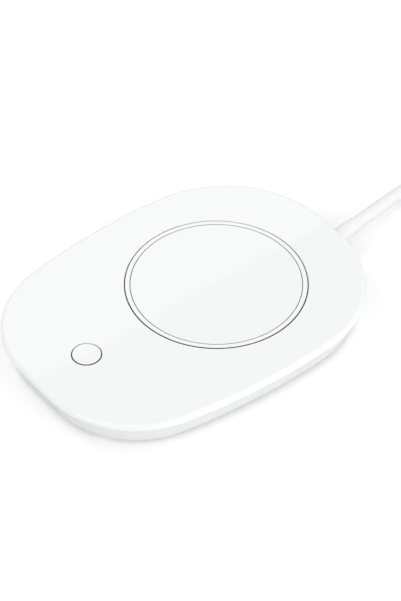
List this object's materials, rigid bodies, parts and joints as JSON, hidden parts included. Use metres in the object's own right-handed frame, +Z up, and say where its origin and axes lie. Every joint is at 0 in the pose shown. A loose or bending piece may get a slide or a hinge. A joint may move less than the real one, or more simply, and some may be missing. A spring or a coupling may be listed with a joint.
{
  "type": "mug warmer",
  "caption": "Low oval electric mug warmer with a flush round heating plate, a flush push button and a mains lead put away in a tied coil.",
  "frame": {"origin": "under the middle of the body, on the surface that the feet stand on", "axes": "+X along the long axis from the push button towards the mains lead, +Z up"},
  "size_m": [0.4123, 0.1545, 0.0233],
  "materials": {
    "gloss_white": "high gloss white moulding",
    "satin_white": "smooth white moulding",
    "button_white": "high gloss white moulding",
    "ring_white": "white heat-resistant moulding",
    "plate_coating": "white glazed coating",
    "cord_jacket": "smooth white flexible plastic",
    "foot_rubber": "soft pale grey",
    "tie_strap": "flat white strap",
    "blade_metal": "nickel-plated",
    "steel": "zinc-plated",
    "mica": "mica sheet",
    "fibre": "pressed fibre",
    "adhesive": "foam adhesive",
    "grey_plastic": "plain moulding",
    "black_plastic": "component body",
    "green_plastic": "terminal moulding",
    "plunger_plastic": "plain moulding",
    "board_laminate": "solder mask",
    "capacitor_case": "boxed capacitor",
    "lamp_lens": "clear lens",
    "wire_insulation": "flexible insulation"
  },
  "bodies": {
    "housing": {"base_cover": "satin_white", "board_fuse": "grey_plastic", "board_screws": "steel", "button_guide": "grey_plastic", "circuit_board": "board_laminate", "clamp_screws": "steel", "coil_tie": "tie_strap", "control_chip": "black_plastic", "cord_clamp": "grey_plastic", "cord_coil": "cord_jacket", "cord_entry": "cord_jacket", "cord_strain_relief": "cord_jacket", "film_capacitor": "capacitor_case", "heater_element": "mica", "heater_leads": "wire_insulation", "heater_terminal": "green_plastic", "heating_plate": "plate_coating", "housing_screws": "steel", "indicator_led": "lamp_lens", "insulation_pad": "fibre", "mains_conductors": "wire_insulation", "mains_cord": "cord_jacket", "mains_terminal": "green_plastic", "panel_adhesive": "adhesive", "plug_blades": "blade_metal", "plug_body": "cord_jacket", "rectifier": "black_plastic", "retainer_plate": "steel", "retainer_screws": "steel", "rubber_feet": "foot_rubber", "sensor_bridge": "steel", "sensor_header": "grey_plastic", "sensor_leads": "wire_insulation", "smoothing_capacitor": "black_plastic", "tactile_switch": "black_plastic", "temperature_sensor": "steel", "thermal_fuse": "grey_plastic", "thermal_fuse_clip": "steel", "top_panel": "gloss_white", "triac": "black_plastic", "trim_ring": "ring_white", "upper_housing": "satin_white"},
    "power_button": {"power_button": "button_white"},
    "switch_plunger": {"switch_plunger": "plunger_plastic"}
  },
  "joints": [
    {"name": "button_press", "type": "slide", "parent": "housing", "child": "power_button", "axis": [0, 0, -1], "range_m": [0, 0.0005], "stiffness_N_per_m": 2500, "springref_m": -0.0003},
    {"name": "plunger_press", "type": "slide", "parent": "housing", "child": "switch_plunger", "axis": [0, 0, -1], "range_m": [0, 0.0005]}
  ],
  "couplings": [
    {"joint": "plunger_press", "follows": "button_press", "ratio": 1}
  ]
}
